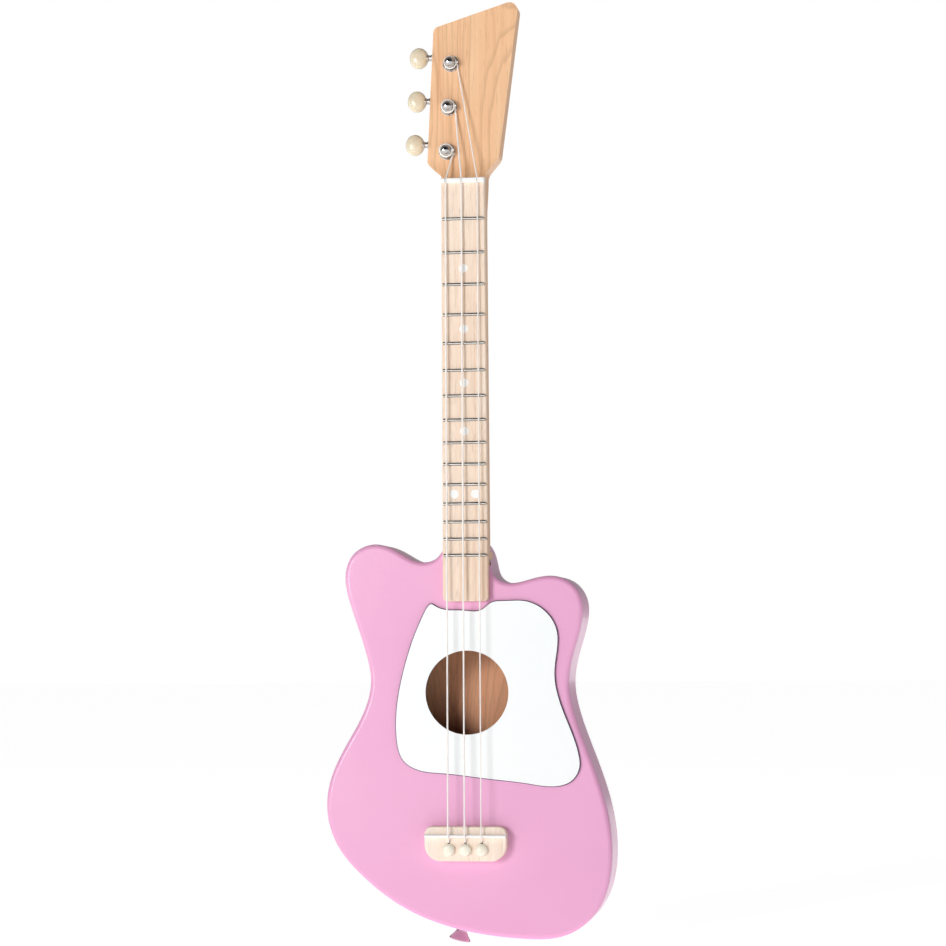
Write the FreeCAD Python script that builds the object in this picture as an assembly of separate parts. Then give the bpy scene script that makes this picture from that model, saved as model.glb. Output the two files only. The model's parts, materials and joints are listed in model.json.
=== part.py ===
import FreeCAD, Part

# Three-string mini guitar of ukulele size, with a hollow bolt-on-neck body.
# Frame, in millimetres: +Z runs up along the neck, +X to the right seen from in front,
# and the face of the body looks towards -Y. The origin is on the neck's centreline,
# in the plane of the body's face, at the nut, where a hanger's yoke holds the neck.
import math
import os

Vector = FreeCAD.Vector

# ---- driving dimensions --------------------------------------------------------
SCALE_LENGTH = 368.0
COMPENSATION = 3.4
FRET_COUNT = 15
MARKED_FRETS = (3, 5, 7, 9)
DOUBLE_MARKED_FRET = 12

BODY_DEPTH = 36.0
PLATE_THICKNESS = 3.0
RIM_THICKNESS = 4.0
LINING_THICKNESS = 4.0
LINING_HEIGHT = 6.0
FACE_ROUNDOVER = 2.6
BACK_ROUNDOVER = 2.0
SOUND_HOLE_Z = -291.0
SOUND_HOLE_RADIUS = 23.75
GUARD_THICKNESS = 1.6

BOARD_THICKNESS = 4.0
BOARD_TOP_Y = -5.0
BOARD_UNDERSIDE_Y = BOARD_TOP_Y + BOARD_THICKNESS
NUT_END_WIDTH = 25.0
BODY_END_WIDTH = 26.0
BOARD_END_Z = -239.4
BOARD_CORNER_RADIUS = 2.6
NECK_BACK_AT_NUT_Y = 14.0
NECK_BACK_AT_BODY_Y = 15.0
NECK_SIDE_STRAIGHT = 5.0
HEEL_TOP_Z = -203.0
HEEL_FLOOR_Y = 16.0

NUT_THICKNESS = 2.7
NUT_CREST_Y = -7.0
HEADSTOCK_FACE_Y = 1.0
HEADSTOCK_BACK_Y = 14.0
SCOOP_END_Z = 16.0

STRING_RADII = (0.5, 0.5, 0.38)
STRING_SHIFT_X = -0.6
STRING_PITCH_AT_NUT = 9.2
STRING_PITCH_AT_BRIDGE = 9.4
STRING_Y_AT_NUT = -6.5

BRIDGE_WIDTH = 46.8
BRIDGE_TOP_Z = -366.0
BRIDGE_BOTTOM_Z = -385.6
BRIDGE_THICKNESS = 7.0
BRIDGE_UPPER_CORNER = 4.6
BRIDGE_LOWER_CORNER = 9.4
SADDLE_Z = -(SCALE_LENGTH + COMPENSATION)
SADDLE_THICKNESS = 1.6
SADDLE_CREST_Y = -9.5
PIN_Z = -379.0
PIN_HEAD_RADIUS = 3.4
PIN_HEAD_HEIGHT = 3.2
PIN_SHANK_RADIUS = 2.4
STRING_HOLE_Z = PIN_Z + 4.05

TUNER_TOP_Z = 70.6
TUNER_PITCH = 25.6
TUNER_INSET = 11.2
POST_RADIUS = 3.0
POST_TIP_Y = -8.0
RUNNING_CLEARANCE = 0.05
TUNER_PLATE_THICKNESS = 1.0
GEAR_TEETH = 14
GEAR_MODULE = 0.8
GEAR_THICKNESS = 3.0
WORM_CORE_RADIUS = 1.15
WORM_THREAD_RADIUS = 2.5
WORM_CENTRE_DISTANCE = 7.6
BUTTON_OFFSET = 10.6

STRAP_BUTTON_X = -6.2

# Places that several pieces share, worked out from the dimensions above.
BACK_Y = BODY_DEPTH
INNER_FACE_Y = PLATE_THICKNESS
INNER_BACK_Y = BODY_DEPTH - PLATE_THICKNESS
GEAR_PITCH_RADIUS = GEAR_TEETH * GEAR_MODULE / 2
TUNER_PLATE_BACK_Y = HEADSTOCK_BACK_Y + TUNER_PLATE_THICKNESS
WORM_Y = TUNER_PLATE_BACK_Y + WORM_THREAD_RADIUS + 0.3
LEFT_EDGE_BOTTOM = (-21.4, 14.3)
LEFT_EDGE_TOP = (-17.6, 89.0)

# ---- outlines, as points in the XZ plane ---------------------------------------
BODY_POINTS = (
    (0.0, -203.0),
    (-9.0, -204.6),
    (-13.3, -209.2),
    (-17.6, -214.6),
    (-25.8, -216.8),
    (-40.5, -210.2),
    (-54.5, -206.3),
    (-66.5, -212.5),
    (-70.6, -224.5),
    (-67.6, -241.0),
    (-58.3, -270.0),
    (-56.0, -284.5),
    (-59.8, -301.0),
    (-72.0, -323.5),
    (-80.6, -344.5),
    (-81.6, -358.5),
    (-76.6, -376.0),
    (-60.5, -395.6),
    (-37.0, -412.8),
    (-6.2, -424.4),
    (30.0, -429.4),
    (55.0, -427.2),
    (73.2, -413.0),
    (81.4, -386.0),
    (79.0, -357.5),
    (69.4, -327.0),
    (60.2, -300.5),
    (58.0, -285.5),
    (60.3, -270.5),
    (65.9, -249.5),
    (65.6, -238.5),
    (58.8, -228.6),
    (48.5, -225.2),
    (35.0, -227.4),
    (24.0, -229.0),
    (16.4, -225.4),
    (13.3, -216.5),
    (9.0, -206.5),
)

PICKGUARD_POINTS = (
    (-19.0, -240.8),
    (-12.4, -243.6),
    (-2.0, -244.1),
    (8.4, -243.9),
    (13.8, -240.0),
    (22.0, -238.9),
    (34.0, -239.2),
    (45.2, -245.0),
    (51.8, -256.0),
    (51.6, -269.5),
    (50.4, -280.5),
    (51.6, -290.5),
    (57.4, -307.5),
    (63.6, -325.8),
    (64.0, -333.2),
    (59.4, -341.0),
    (49.6, -344.2),
    (34.0, -342.6),
    (10.0, -339.8),
    (-14.0, -337.0),
    (-28.5, -335.0),
    (-37.2, -329.4),
    (-40.9, -318.0),
    (-41.3, -306.0),
    (-38.2, -284.0),
    (-31.8, -262.0),
    (-25.4, -247.0),
)

# ---- small helpers ---------------------------------------------------------------


def box(x0, x1, y0, y1, z0, z1):
    return Part.makeBox(x1 - x0, y1 - y0, z1 - z0, Vector(x0, y0, z0))


def rod_y(x, z, radius, y0, y1):
    return Part.makeCylinder(radius, y1 - y0, Vector(x, y0, z), Vector(0, 1, 0))


def rod_x(y, z, radius, x0, x1):
    return Part.makeCylinder(radius, x1 - x0, Vector(x0, y, z), Vector(1, 0, 0))


def smooth_outline(points):
    curve = Part.BSplineCurve()
    curve.interpolate(Points=[Vector(x, 0, z) for x, z in points], PeriodicFlag=True)
    return Part.Wire([curve.toShape()])


def polygon(points, y=0.0):
    corners = [Vector(x, y, z) for x, z in points]
    return Part.makePolygon(corners + corners[:1])


def slab(wire, y0, y1):
    solid = Part.Face(wire).extrude(Vector(0, y1 - y0, 0))
    solid.translate(Vector(0, y0, 0))
    return solid


def inset(wire, distance):
    """The outline moved inwards: points stepped along its normals, less any that cross over."""
    edge = wire.Edges[0]
    face = Part.Face(wire)
    kept = []
    for point in edge.discretize(120)[:-1]:
        tangent = edge.Curve.tangent(edge.Curve.parameter(point))[0]
        normal = Vector(tangent.z, 0, -tangent.x).normalize()
        if not face.isInside(point + normal * 0.5, 0.01, True):
            normal = normal * -1
        moved = point + normal * distance
        if edge.distToShape(Part.Vertex(moved))[0] > distance - 0.05:
            kept.append((moved.x, moved.z))
    return smooth_outline(kept)


def edges_at_y(solid, y):
    return [e for e in solid.Edges if abs(e.BoundBox.YMin - y) < 1e-4 and abs(e.BoundBox.YMax - y) < 1e-4]


def edges_along_y(solid):
    return [e for e in solid.Edges if e.BoundBox.XLength < 1e-4 and e.BoundBox.ZLength < 1e-4]


def turned_disc(x, z, profile):
    """A solid turned about the line through (x, z) along Y; profile holds (radius, y)."""
    corners = [Vector(x + radius, y, z) for radius, y in profile]
    face = Part.Face(Part.makePolygon(corners + corners[:1]))
    return face.revolve(Vector(x, 0, z), Vector(0, 1, 0), 360)


def one_solid(shape):
    return shape.Solids[0] if len(shape.Solids) == 1 else shape


def save(name, shape):
    shape = shape.removeSplitter()
    volumes = [round(s.Volume, 2) for s in shape.Solids]
    print(name, "solids", len(volumes), "valid", shape.isValid(), "volume", sum(volumes))
    one_solid(shape).exportStep("parts/" + name + ".step")


def fret_z(number):
    return -SCALE_LENGTH * (1 - 2 ** (-number / 12))


def string_x(index, z):
    """Where string 0, 1 or 2 crosses the height z, between the saddle and the nut."""
    share = z / SADDLE_Z
    pitch = STRING_PITCH_AT_NUT + share * (STRING_PITCH_AT_BRIDGE - STRING_PITCH_AT_NUT)
    return STRING_SHIFT_X + (index - 1) * pitch


def board_half_width(z):
    share = z / BOARD_END_Z
    return (NUT_END_WIDTH + share * (BODY_END_WIDTH - NUT_END_WIDTH)) / 2


def left_edge_x(z):
    """The headstock's straight left edge, which carries the tuners."""
    (x0, z0), (x1, z1) = LEFT_EDGE_BOTTOM, LEFT_EDGE_TOP
    return x0 + (z - z0) * (x1 - x0) / (z1 - z0)


def tuner_places():
    """(x, z) of each post: the lowest one carries the leftmost string."""
    heights = [TUNER_TOP_Z - step * TUNER_PITCH for step in (2, 1, 0)]
    return [(left_edge_x(z) + TUNER_INSET, z) for z in heights]


# ---- body ------------------------------------------------------------------------


def neck_pocket():
    half = BODY_END_WIDTH / 2 + 0.05
    pocket = box(-half, half, -1, HEEL_FLOOR_Y, BOARD_END_Z - 0.05, HEEL_TOP_Z + 20)
    lower = [e for e in edges_along_y(pocket) if e.BoundBox.ZMax < BOARD_END_Z + 1]
    return pocket.makeFillet(BOARD_CORNER_RADIUS, lower)


def neck_screw_places():
    return [(x, z) for x in (-8.0, 8.0) for z in (-216.5, -232.0)]


def pin_places():
    return [(string_x(index, PIN_Z), PIN_Z) for index in range(3)]


def pin_hole(x, z, y0, y1):
    slot = box(x - 0.65, x + 0.65, y0, y1, z, STRING_HOLE_Z + 0.65)
    return rod_y(x, z, PIN_SHANK_RADIUS + 0.1, y0, y1).fuse(slot)


def soundboard(outline):
    plate = slab(outline, 0, PLATE_THICKNESS)
    plate = plate.makeFillet(FACE_ROUNDOVER, edges_at_y(plate, 0))
    plate = plate.cut(rod_y(0, SOUND_HOLE_Z, SOUND_HOLE_RADIUS + 0.4, -1, PLATE_THICKNESS + 1))
    plate = plate.cut(neck_pocket())
    # The tips either side of the neck end where they would be thinner than a veneer.
    plate = plate.cut(box(-13.7, 13.7, -1, PLATE_THICKNESS + 1, -212.0, -190))
    plate = plate.cut(box(0, 13.7, -1, PLATE_THICKNESS + 1, -219.0, -190))
    for x, z in pin_places():
        plate = plate.cut(pin_hole(x, z, -1, PLATE_THICKNESS + 1))
    return plate


def back_plate(outline):
    plate = slab(outline, INNER_BACK_Y, BACK_Y)
    plate = plate.makeFillet(BACK_ROUNDOVER, edges_at_y(plate, BACK_Y))
    for x, z in neck_screw_places():
        plate = plate.cut(rod_y(x, z, 4.5, INNER_BACK_Y - 1, BACK_Y + 1))
    return plate


def side_rim(outline, inner):
    ring = slab(outline, INNER_FACE_Y, INNER_BACK_Y).cut(slab(inner, 0, BACK_Y))
    return ring.cut(neck_pocket()).cut(strap_screw_hole())


def neck_block(inner):
    block = slab(inner, INNER_FACE_Y, INNER_BACK_Y)
    block = block.common(box(-32, 32, 0, BACK_Y, -254, -190)).cut(neck_pocket())
    for x, z in neck_screw_places():
        block = block.cut(rod_y(x, z, 2.1, HEEL_FLOOR_Y - 1, BACK_Y))
    return block


def tail_block(inner):
    block = slab(inner, INNER_FACE_Y, INNER_BACK_Y)
    return block.common(box(-24, 12, 0, BACK_Y, -430, -404)).cut(strap_screw_hole())


def lining(inner, core, y0, y1):
    strip = slab(inner, y0, y1).cut(slab(core, y0 - 1, y1 + 1))
    return strip.cut(box(-32, 32, 0, BACK_Y, -254, -190)).cut(box(-24, 12, 0, BACK_Y, -430, -404))


def brace(core, z, depth, y0, y1):
    """A bar across the inside, trimmed to the space between the linings."""
    bar = box(-100, 100, y0, y1, z - depth / 2, z + depth / 2)
    return bar.common(slab(core, y0 - 1, y1 + 1))


def bridge_plate():
    plate = box(-30, 30, INNER_FACE_Y, INNER_FACE_Y + 2.2, -391, -361)
    plate = plate.makeFillet(4, edges_along_y(plate))
    for x, z in pin_places():
        plate = plate.cut(pin_hole(x, z, 0, 10))
    return plate


def pickguard():
    plate = slab(smooth_outline(PICKGUARD_POINTS), -GUARD_THICKNESS, 0)
    plate = plate.makeChamfer(0.45, edges_at_y(plate, -GUARD_THICKNESS))
    plate = plate.cut(rod_y(0, SOUND_HOLE_Z, SOUND_HOLE_RADIUS, -5, 5))
    return plate


# ---- neck and fretboard ----------------------------------------------------------


def neck_section(z, half, back_y, fullness=0.8):
    """A D-shaped section: straight sides, then a back that is squarer as fullness falls."""
    start_y = BOARD_UNDERSIDE_Y + NECK_SIDE_STRAIGHT
    depth = back_y - start_y
    points = []
    for step in range(25):
        angle = math.pi * step / 24
        x = half * math.copysign(abs(math.cos(angle)) ** fullness, math.cos(angle))
        points.append(Vector(x, start_y + depth * math.sin(angle) ** fullness, z))
    curve = Part.BSplineCurve()
    curve.interpolate(Points=points)
    right_top = Vector(half, BOARD_UNDERSIDE_Y, z)
    left_top = Vector(-half, BOARD_UNDERSIDE_Y, z)
    sides = [Part.makeLine(right_top, points[0]), curve.toShape()]
    sides += [Part.makeLine(points[-1], left_top), Part.makeLine(left_top, right_top)]
    return Part.Wire(sides)


def neck_shaft():
    """The grip, whose back grows square over its last stretch to meet the headstock."""
    bottom, top = HEEL_TOP_Z - 12, 4.0
    sections = []
    for z, fullness in ((bottom, 0.8), (-28, 0.8), (-21, 0.74), (-14, 0.6), (-7, 0.44), (top, 0.34)):
        share = (z - bottom) / (top - bottom)
        half = (BODY_END_WIDTH + share * (NUT_END_WIDTH - BODY_END_WIDTH)) / 2
        back_y = NECK_BACK_AT_BODY_Y + share * (NECK_BACK_AT_NUT_Y - NECK_BACK_AT_BODY_Y)
        sections.append(neck_section(z, half, back_y, fullness))
    return Part.makeLoft(sections, True, True)


def neck_heel():
    half = BODY_END_WIDTH / 2
    heel = box(-half, half, BOARD_UNDERSIDE_Y, HEEL_FLOOR_Y, BOARD_END_Z, HEEL_TOP_Z - 8)
    lower = [e for e in edges_along_y(heel) if e.BoundBox.ZMax < BOARD_END_Z + 1]
    return heel.makeFillet(BOARD_CORNER_RADIUS, lower)


def headstock_wire():
    """The headstock's outline: straight sides, rounded corners, concave flares."""
    def at(x, z):
        return Vector(x, 0, z)
    half = NUT_END_WIDTH / 2
    lines = [
        Part.makeLine(at(-half, 0), at(-half, 2.7)),
        Part.Arc(at(-half, 2.7), at(-13.2, 4.9), at(-15.4, 7.4)).toShape(),
        Part.makeLine(at(-15.4, 7.4), at(-20.0, 11.4)),
        Part.Arc(at(-20.0, 11.4), at(-21.1, 12.7), at(-21.4, 14.3)).toShape(),
        Part.makeLine(at(-21.4, 14.3), at(-17.6, 89.0)),
        Part.Arc(at(-17.6, 89.0), at(-16.9, 91.2), at(-15.0, 92.6)).toShape(),
        Part.makeLine(at(-15.0, 92.6), at(25.2, 105.0)),
        Part.Arc(at(25.2, 105.0), at(30.0, 104.0), at(31.4, 99.0)).toShape(),
        Part.makeLine(at(31.4, 99.0), at(20.7, 17.6)),
        Part.Arc(at(20.7, 17.6), at(20.1, 15.2), at(18.8, 13.2)).toShape(),
        Part.makeLine(at(18.8, 13.2), at(14.4, 8.0)),
        Part.Arc(at(14.4, 8.0), at(12.9, 5.4), at(half, 2.7)).toShape(),
        Part.makeLine(at(half, 2.7), at(half, 0)),
        Part.makeLine(at(half, 0), at(-half, 0)),
    ]
    return Part.Wire(lines)


def headstock_scoop():
    """What is cut away in front of the headstock: flat, with a concave ramp to the nut."""
    def at(y, z):
        return Vector(-60, y, z)
    run = SCOOP_END_Z - NUT_THICKNESS
    drop = HEADSTOCK_FACE_Y - BOARD_UNDERSIDE_Y
    radius = (run ** 2 + drop ** 2) / (2 * drop)
    middle_z = NUT_THICKNESS + run * 0.5
    middle_y = HEADSTOCK_FACE_Y - radius + math.sqrt(radius ** 2 - (SCOOP_END_Z - middle_z) ** 2)
    start = at(BOARD_UNDERSIDE_Y, NUT_THICKNESS)
    middle = at(middle_y, middle_z)
    end = at(HEADSTOCK_FACE_Y, SCOOP_END_Z)
    edges = [Part.Arc(start, middle, end).toShape()]
    corners = [end, at(HEADSTOCK_FACE_Y, 150), at(-30, 150), at(-30, NUT_THICKNESS), start]
    edges += [Part.makeLine(a, b) for a, b in zip(corners, corners[1:])]
    return Part.Face(Part.Wire(edges)).extrude(Vector(120, 0, 0))


def tuner_screw_places():
    places = []
    for x, z in tuner_places():
        places += [(x, z - 8.9), (x, z + 12.2)]
    return places


def headstock():
    head = slab(headstock_wire(), BOARD_UNDERSIDE_Y, HEADSTOCK_BACK_Y)
    rear = [e for e in edges_at_y(head, HEADSTOCK_BACK_Y) if e.BoundBox.ZMax > 3]
    head = head.makeFillet(1.4, rear)
    head = head.cut(headstock_scoop())
    for x, z in tuner_places():
        head = head.cut(rod_y(x, z, 4.0, -5, 7.0))
        head = head.cut(rod_y(x, z, 4.75, -5, HEADSTOCK_FACE_Y))
        head = head.cut(rod_y(x, z, POST_RADIUS + 0.4, 6.0, 20))
    for x, z in tuner_screw_places():
        head = head.cut(rod_y(x, z, 0.95, 5.0, 20))
    return head


def neck():
    shape = neck_shaft().fuse(neck_heel()).fuse(headstock())
    for x, z in neck_screw_places():
        shape = shape.cut(rod_y(x, z, 1.6, 3.0, 30))
    return shape


def fretboard():
    y0, y1 = BOARD_TOP_Y, BOARD_UNDERSIDE_Y
    top, end = NUT_END_WIDTH / 2, BODY_END_WIDTH / 2
    wire = polygon([(-top, 0), (top, 0), (end, BOARD_END_Z), (-end, BOARD_END_Z)])
    board = slab(wire, y0, y1)
    lower = [e for e in edges_along_y(board) if e.BoundBox.ZMax < BOARD_END_Z + 1]
    board = board.makeFillet(BOARD_CORNER_RADIUS, lower)
    rim = [e for e in edges_at_y(board, y0) if e.BoundBox.ZMin < -1]
    board = board.makeChamfer(0.4, rim)
    for number in range(1, FRET_COUNT + 1):
        z = fret_z(number)
        board = board.cut(box(-20, 20, y0 - 1, y0 + 2.0, z - 0.3, z + 0.3))
    for x, z in marker_places():
        board = board.cut(rod_y(x, z, 2.5, y0 - 1, y0 + 1.5))
    return board


def marker_places():
    def between(number):
        return (fret_z(number - 1) + fret_z(number)) / 2
    places = [(0.0, between(number)) for number in MARKED_FRETS]
    return places + [(x, between(DOUBLE_MARKED_FRET)) for x in (-6.05, 6.05)]


def frets():
    """Each fret: a low rounded crown on the board, and a tang in its slot."""
    wires = []
    for number in range(1, FRET_COUNT + 1):
        z = fret_z(number)
        half = board_half_width(z) - 0.7
        top, side = Vector(-half, BOARD_TOP_Y - 0.95, z), 0.8
        a = Vector(-half, BOARD_TOP_Y, z - side)
        b = Vector(-half, BOARD_TOP_Y, z + side)
        crown = Part.Face(Part.Wire([Part.Arc(a, top, b).toShape(), Part.makeLine(b, a)]))
        tang = box(-half, half, BOARD_TOP_Y - 0.2, BOARD_TOP_Y + 1.9, z - 0.29, z + 0.29)
        wires.append(crown.extrude(Vector(2 * half, 0, 0)).fuse(tang).removeSplitter().Solids[0])
    return Part.makeCompound(wires)


def fret_markers():
    discs = [rod_y(x, z, 2.49, BOARD_TOP_Y - 0.04, BOARD_TOP_Y + 1.5) for x, z in marker_places()]
    return Part.makeCompound(discs)


def nut():
    half = NUT_END_WIDTH / 2
    block = box(-half, half, NUT_CREST_Y, BOARD_UNDERSIDE_Y, 0, NUT_THICKNESS)
    block = block.makeFillet(0.5, edges_at_y(block, NUT_CREST_Y))
    for index, radius in enumerate(STRING_RADII):
        crest, level = nut_crest(index), post_approach(index)
        width = radius + 0.08
        floor = crest + Vector(0, 0.14, 0)
        lean = (level.x - crest.x) / (level.z - crest.z) * 3
        notch = [(-width, -3), (width, -3), (width, 0), (width + lean, 3), (lean - width, 3), (-width, 0)]
        slot = slab(polygon([(crest.x + x, crest.z + z) for x, z in notch]), -9, floor.y)
        slot = slot.fuse(Part.makeCylinder(width, 4, floor, Vector(0, 0, -1)))
        slot = slot.fuse(Part.makeCylinder(width, 4, floor, level - crest))
        block = block.cut(slot)
    return block


# ---- bridge ----------------------------------------------------------------------


def bridge():
    half = BRIDGE_WIDTH / 2
    x = STRING_SHIFT_X
    top_y = -BRIDGE_THICKNESS
    body = box(x - half, x + half, top_y, 0, BRIDGE_BOTTOM_Z, BRIDGE_TOP_Z)
    upper = [e for e in edges_along_y(body) if e.BoundBox.ZMin > BRIDGE_TOP_Z - 1]
    body = body.makeFillet(BRIDGE_UPPER_CORNER, upper)
    lower = [e for e in edges_along_y(body) if e.BoundBox.ZMax < BRIDGE_BOTTOM_Z + 1]
    body = body.makeFillet(BRIDGE_LOWER_CORNER, lower)
    body = body.makeFillet(0.9, edges_at_y(body, top_y))
    half_slot = SADDLE_THICKNESS / 2
    body = body.cut(box(x - half, x + half, -20, top_y + 3.0, SADDLE_Z - half_slot, SADDLE_Z + half_slot))
    for px, pz in pin_places():
        body = body.cut(pin_hole(px, pz, -20, 1))
    return body


def saddle():
    half = BRIDGE_WIDTH / 2 - 0.3
    half_slot = SADDLE_THICKNESS / 2
    z0, z1 = SADDLE_Z - half_slot, SADDLE_Z + half_slot
    x = STRING_SHIFT_X
    strip = box(x - half, x + half, SADDLE_CREST_Y, 3.0 - BRIDGE_THICKNESS, z0, z1)
    crest = [e for e in edges_at_y(strip, SADDLE_CREST_Y) if e.BoundBox.XLength > 1]
    return strip.makeFillet(0.7, crest)


def bridge_pin(index):
    x, z = pin_places()[index]
    top = -BRIDGE_THICKNESS
    head = [(0, top - PIN_HEAD_HEIGHT), (1.6, top - PIN_HEAD_HEIGHT + 0.12)]
    for step in range(1, 6):
        angle = math.pi / 2 * step / 5
        head.append((2.4 + math.sin(angle) * 1.0, top - PIN_HEAD_HEIGHT + 1.3 - math.cos(angle) * 0.95))
    head += [(PIN_HEAD_RADIUS, top - 0.5), (PIN_HEAD_RADIUS - 0.3, top)]
    shank = [(PIN_SHANK_RADIUS, top), (PIN_SHANK_RADIUS - 0.3, INNER_FACE_Y + 3.4), (1.4, 7.4), (0, 7.4)]
    return turned_disc(x, z, head + shank)


# ---- strings ---------------------------------------------------------------------


def bend(start, centre, axis, degrees, radius):
    """A bent stretch of round rod that begins at start and turns about centre."""
    tangent = axis.cross(start - centre)
    tangent.normalize()
    face = Part.Face(Part.Wire([Part.Circle(start, tangent, radius).toShape()]))
    return face.revolve(centre, axis, degrees)


def bent_rod(points, bend_radii, radius):
    """Straight runs joined by tangent arcs, one arc at each inner point."""
    pieces = []
    start = points[0]
    for before, corner, after, bend_radius in zip(points, points[1:], points[2:], bend_radii):
        into = (corner - before).normalize()
        out = (after - corner).normalize()
        turn = into.getAngle(out)
        reach = bend_radius * math.tan(turn / 2)
        arc_start = corner - into * reach
        axis = into.cross(out).normalize()
        centre = arc_start + axis.cross(into) * bend_radius
        pieces.append(Part.makeCylinder(radius, (arc_start - start).Length, start, into))
        pieces.append(bend(arc_start, centre, axis, math.degrees(turn), radius))
        start = corner + out * reach
    last = points[-1] - start
    pieces.append(Part.makeCylinder(radius, last.Length, start, last))
    return pieces


def nut_crest(index):
    """Where the string bends over the nut."""
    return Vector(string_x(index, 0), STRING_Y_AT_NUT + (0.5 - STRING_RADII[index]), NUT_THICKNESS * 0.6)


def post_touch(index):
    """Where the string meets its post, and its direction there, level with the last wrap."""
    post_x, post_z = tuner_places()[index]
    nut_place = nut_crest(index)
    across, down = nut_place.x - post_x, nut_place.z - post_z
    wrap_radius = POST_RADIUS + 0.14 + STRING_RADII[index]
    angle = math.atan2(down, across) + math.acos(wrap_radius / math.hypot(down, across))
    level_y = string_wrap_y(index)
    touch = Vector(post_x + wrap_radius * math.cos(angle), level_y, post_z + wrap_radius * math.sin(angle))
    return touch, Vector(-math.sin(angle), 0, math.cos(angle))


def post_approach(index):
    """The point just before the post from which the string runs level with its wrap."""
    touch, along = post_touch(index)
    return touch - along * 4.5


def string(index):
    """One string: knot, pin-hole run, saddle, nut, and its last wrap round the post."""
    radius = STRING_RADII[index]
    post_x, post_z = tuner_places()[index]
    hole_x, saddle_x = string_x(index, PIN_Z), string_x(index, SADDLE_Z)
    crest_y = SADDLE_CREST_Y - radius - 0.14
    touch = post_touch(index)[0]
    knot = Vector(hole_x, INNER_FACE_Y + 2.2 + 1.65, STRING_HOLE_Z)
    points = [
        knot,
        Vector(hole_x, -BRIDGE_THICKNESS - 0.6, STRING_HOLE_Z),
        Vector(saddle_x, crest_y, SADDLE_Z),
        nut_crest(index),
        post_approach(index),
        touch,
    ]
    pieces = bent_rod(points, (1.6, 1.5, 4.0, 6.0), radius)
    centre = Vector(post_x, touch.y, post_z)
    pieces.append(bend(touch, centre, Vector(0, -1, 0), 215, radius))
    pieces.append(Part.makeSphere(1.6, knot))
    return pieces[0].multiFuse(pieces[1:])


def string_wrap_y(index):
    """The level of the wrap nearest the headstock, just above the bushing."""
    return HEADSTOCK_FACE_Y - 0.8 - 0.25 - STRING_RADII[index]


def string_winding(index):
    """The turns above the last wrap, and the tail through the post's hole."""
    radius = STRING_RADII[index]
    post_x, post_z = tuner_places()[index]
    pitch = 2 * radius + 0.06
    turns = 2.5
    helix_radius = POST_RADIUS + 0.03 + radius
    helix = Part.makeHelix(pitch, pitch * turns, helix_radius)
    section = Part.Wire([Part.Circle(Vector(helix_radius, 0, 0), Vector(0, 1, 0), radius).toShape()])
    coil = Part.Wire(helix.Edges).makePipeShell([section], True, True)
    top = pitch * turns
    tail_start = Vector(-helix_radius - 0.2, 0, top)
    coil = coil.fuse(Part.makeCylinder(0.98 * radius, 2 * helix_radius + 1.6, tail_start, Vector(1, 0, 0)))
    coil.rotate(Vector(0, 0, 0), Vector(1, 0, 0), 90)
    coil.translate(Vector(post_x, string_winding_start_y(index), post_z))
    return coil


def string_winding_start_y(index):
    return string_wrap_y(index) - 2 * STRING_RADII[index] - 0.2


def string_tail_y(index):
    pitch = 2 * STRING_RADII[index] + 0.06
    return string_winding_start_y(index) - 2.5 * pitch


# ---- tuners ----------------------------------------------------------------------


def tuner_base_plate(index):
    """Back plate with two ears that carry the worm's shaft."""
    x, z = tuner_places()[index]
    y0, y1 = HEADSTOCK_BACK_Y, TUNER_PLATE_BACK_Y
    worm_z = z + WORM_CENTRE_DISTANCE
    edge_x = left_edge_x(worm_z)
    strip = box(x - 6.4, x + 6.4, y0, y1, z - 11.2, z + 14.2)
    strip = strip.makeFillet(2.6, edges_along_y(strip))
    arm = box(edge_x - 1.6, x, y0, y1, worm_z - 3.4, worm_z + 3.4)
    plate = strip.fuse(arm)
    for ear_x in (edge_x - 1.6, x + 5.1):
        ear = rod_x(WORM_Y, worm_z, 2.9, ear_x, ear_x + 1.3)
        ear = ear.fuse(box(ear_x, ear_x + 1.3, y0, WORM_Y, worm_z - 2.9, worm_z + 2.9))
        plate = plate.fuse(ear)
    plate = plate.cut(rod_x(WORM_Y, worm_z, WORM_CORE_RADIUS + RUNNING_CLEARANCE, edge_x - 10, x + 20))
    plate = plate.cut(rod_y(x, z, POST_RADIUS + RUNNING_CLEARANCE, 10, 20))
    for screw_z in (z - 8.9, z + 12.2):
        plate = plate.cut(rod_y(x, screw_z, 1.25, 10, 20))
    return plate


def tuner_worm_shaft(index):
    """Shaft with a right-handed single thread, carried through to the button."""
    x, z = tuner_places()[index]
    worm_z = z + WORM_CENTRE_DISTANCE
    pitch = math.pi * GEAR_MODULE
    turns = 3
    core = rod_x(WORM_Y, worm_z, WORM_CORE_RADIUS, button_x(index) - 1.5, x + 7.6)
    stop = rod_x(WORM_Y, worm_z, 1.9, x + 6.5, x + 7.6)
    middle = (WORM_CORE_RADIUS + WORM_THREAD_RADIUS) / 2
    height = WORM_THREAD_RADIUS - WORM_CORE_RADIUS + 0.3
    helix = Part.makeHelix(pitch, pitch * turns, middle)
    a, b = middle - height / 2 - 0.15, middle + height / 2 - 0.15
    corners = [Vector(a, 0, -0.42), Vector(b, 0, -0.2), Vector(b, 0, 0.2), Vector(a, 0, 0.42)]
    section = Part.makePolygon(corners + corners[:1])
    thread = Part.Wire(helix.Edges).makePipeShell([section], True, True)
    thread.translate(Vector(0, 0, -pitch * turns / 2))
    # Turned so that the helix lies along X and its middle crossing faces the gear.
    thread.rotate(Vector(0, 0, 0), Vector(0, 1, 0), 90)
    thread.rotate(Vector(0, 0, 0), Vector(1, 0, 0), 180 if turns % 2 else 0)
    thread.translate(Vector(x, WORM_Y, worm_z))
    return core.fuse(stop).fuse(thread)


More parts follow.
